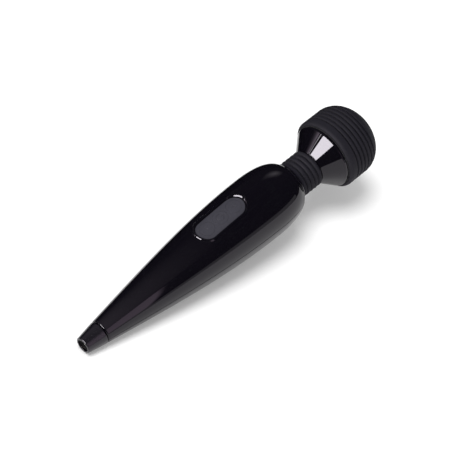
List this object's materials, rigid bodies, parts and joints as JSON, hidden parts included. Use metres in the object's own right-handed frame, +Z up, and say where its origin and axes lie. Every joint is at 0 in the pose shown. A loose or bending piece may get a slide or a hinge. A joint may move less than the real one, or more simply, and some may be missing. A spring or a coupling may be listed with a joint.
{
  "type": "wand massager",
  "caption": "Handheld rechargeable wand massager: tapered gloss handle with a keypad, flexible ribbed neck and a ribbed soft head driven by an eccentric motor.",
  "frame": {"origin": "under the middle of the wand's length, at the lowest line of the soft head, where it meets the surface it lies on", "axes": "+X along the wand from the charging end to the head; +Z up, the way the keypad faces; +Y to the left of +X"},
  "size_m": [0.3, 0.06, 0.06],
  "materials": {
    "shell_gloss": "gloss",
    "socket_black": "satin",
    "silicone": "matte",
    "keypad_silicone": "matte",
    "inner_black": "matte",
    "natural_plastic": "satin",
    "board_green": "satin",
    "steel": "satin",
    "nickel": "gloss",
    "gold_plate": "polished",
    "brass": "satin",
    "copper": "satin",
    "cell_sleeve": "gloss",
    "ferrite": "matte",
    "rotor_steel": "satin",
    "wire_red": "satin",
    "wire_grey": "satin"
  },
  "bodies": {
    "handle": {"upper_shell": "shell_gloss", "lower_shell": "shell_gloss", "tail_cap": "shell_gloss", "jack_housing": "socket_black", "jack_pin": "nickel", "jack_contact": "gold_plate", "keypad_panel": "keypad_silicone", "circuit_board": "board_green", "control_chips": "inner_black", "tact_switches": "steel", "board_screws": "steel", "battery_cradle": "inner_black", "battery_cells": "cell_sleeve", "battery_tabs": "nickel", "shell_screws": "steel", "neck_collar": "inner_black", "charge_wires": "wire_red", "battery_wires": "wire_red", "motor_wires": "wire_grey"},
    "plus_button": {"key_plus": "keypad_silicone", "stem_plus": "natural_plastic"},
    "power_button": {"key_power": "keypad_silicone", "stem_power": "natural_plastic"},
    "minus_button": {"key_minus": "keypad_silicone", "stem_minus": "natural_plastic"},
    "neck": {"neck_bellows": "silicone", "neck_spring": "steel"},
    "head": {"head_cone": "shell_gloss", "neck_flange": "inner_black", "cone_screws": "steel", "motor_housing": "inner_black", "motor_screws": "steel", "housing_dome": "natural_plastic", "head_cap": "silicone", "motor_can": "nickel", "motor_end_bell": "natural_plastic", "motor_bushes": "brass", "motor_magnets": "ferrite", "motor_brushes": "copper", "motor_terminals": "brass"},
    "rotor": {"motor_shaft": "steel", "rotor_core": "rotor_steel", "rotor_windings": "copper", "commutator": "copper", "eccentric_weight": "brass"}
  },
  "joints": [
    {"name": "plus_press", "type": "slide", "parent": "handle", "child": "plus_button", "axis": [0, 0, -1], "range_m": [0, 0.0005], "stiffness_N_per_m": 400, "springref_m": -0.001},
    {"name": "power_press", "type": "slide", "parent": "handle", "child": "power_button", "axis": [0, 0, -1], "range_m": [0, 0.0005], "stiffness_N_per_m": 400, "springref_m": -0.001},
    {"name": "minus_press", "type": "slide", "parent": "handle", "child": "minus_button", "axis": [0, 0, -1], "range_m": [0, 0.0005], "stiffness_N_per_m": 400, "springref_m": -0.001},
    {"name": "neck_pitch", "type": "hinge", "parent": "handle", "child": "neck", "pos_m": [0.074, 0, 0.03], "axis": [0, 1, 0], "range_deg": [-12, 12], "stiffness_Nm_per_rad": 8, "deforming": ["neck_bellows", "neck_spring", "motor_wires"]},
    {"name": "neck_yaw", "type": "hinge", "parent": "neck", "child": "head", "pos_m": [0.084, 0, 0.03], "axis": [0, 0, 1], "range_deg": [-12, 12], "stiffness_Nm_per_rad": 8, "deforming": ["neck_bellows", "neck_spring", "motor_wires"]},
    {"name": "motor_spin", "type": "hinge", "parent": "head", "child": "rotor", "pos_m": [0.114, 0, 0.03], "axis": [1, 0, 0], "continuous": true}
  ]
}
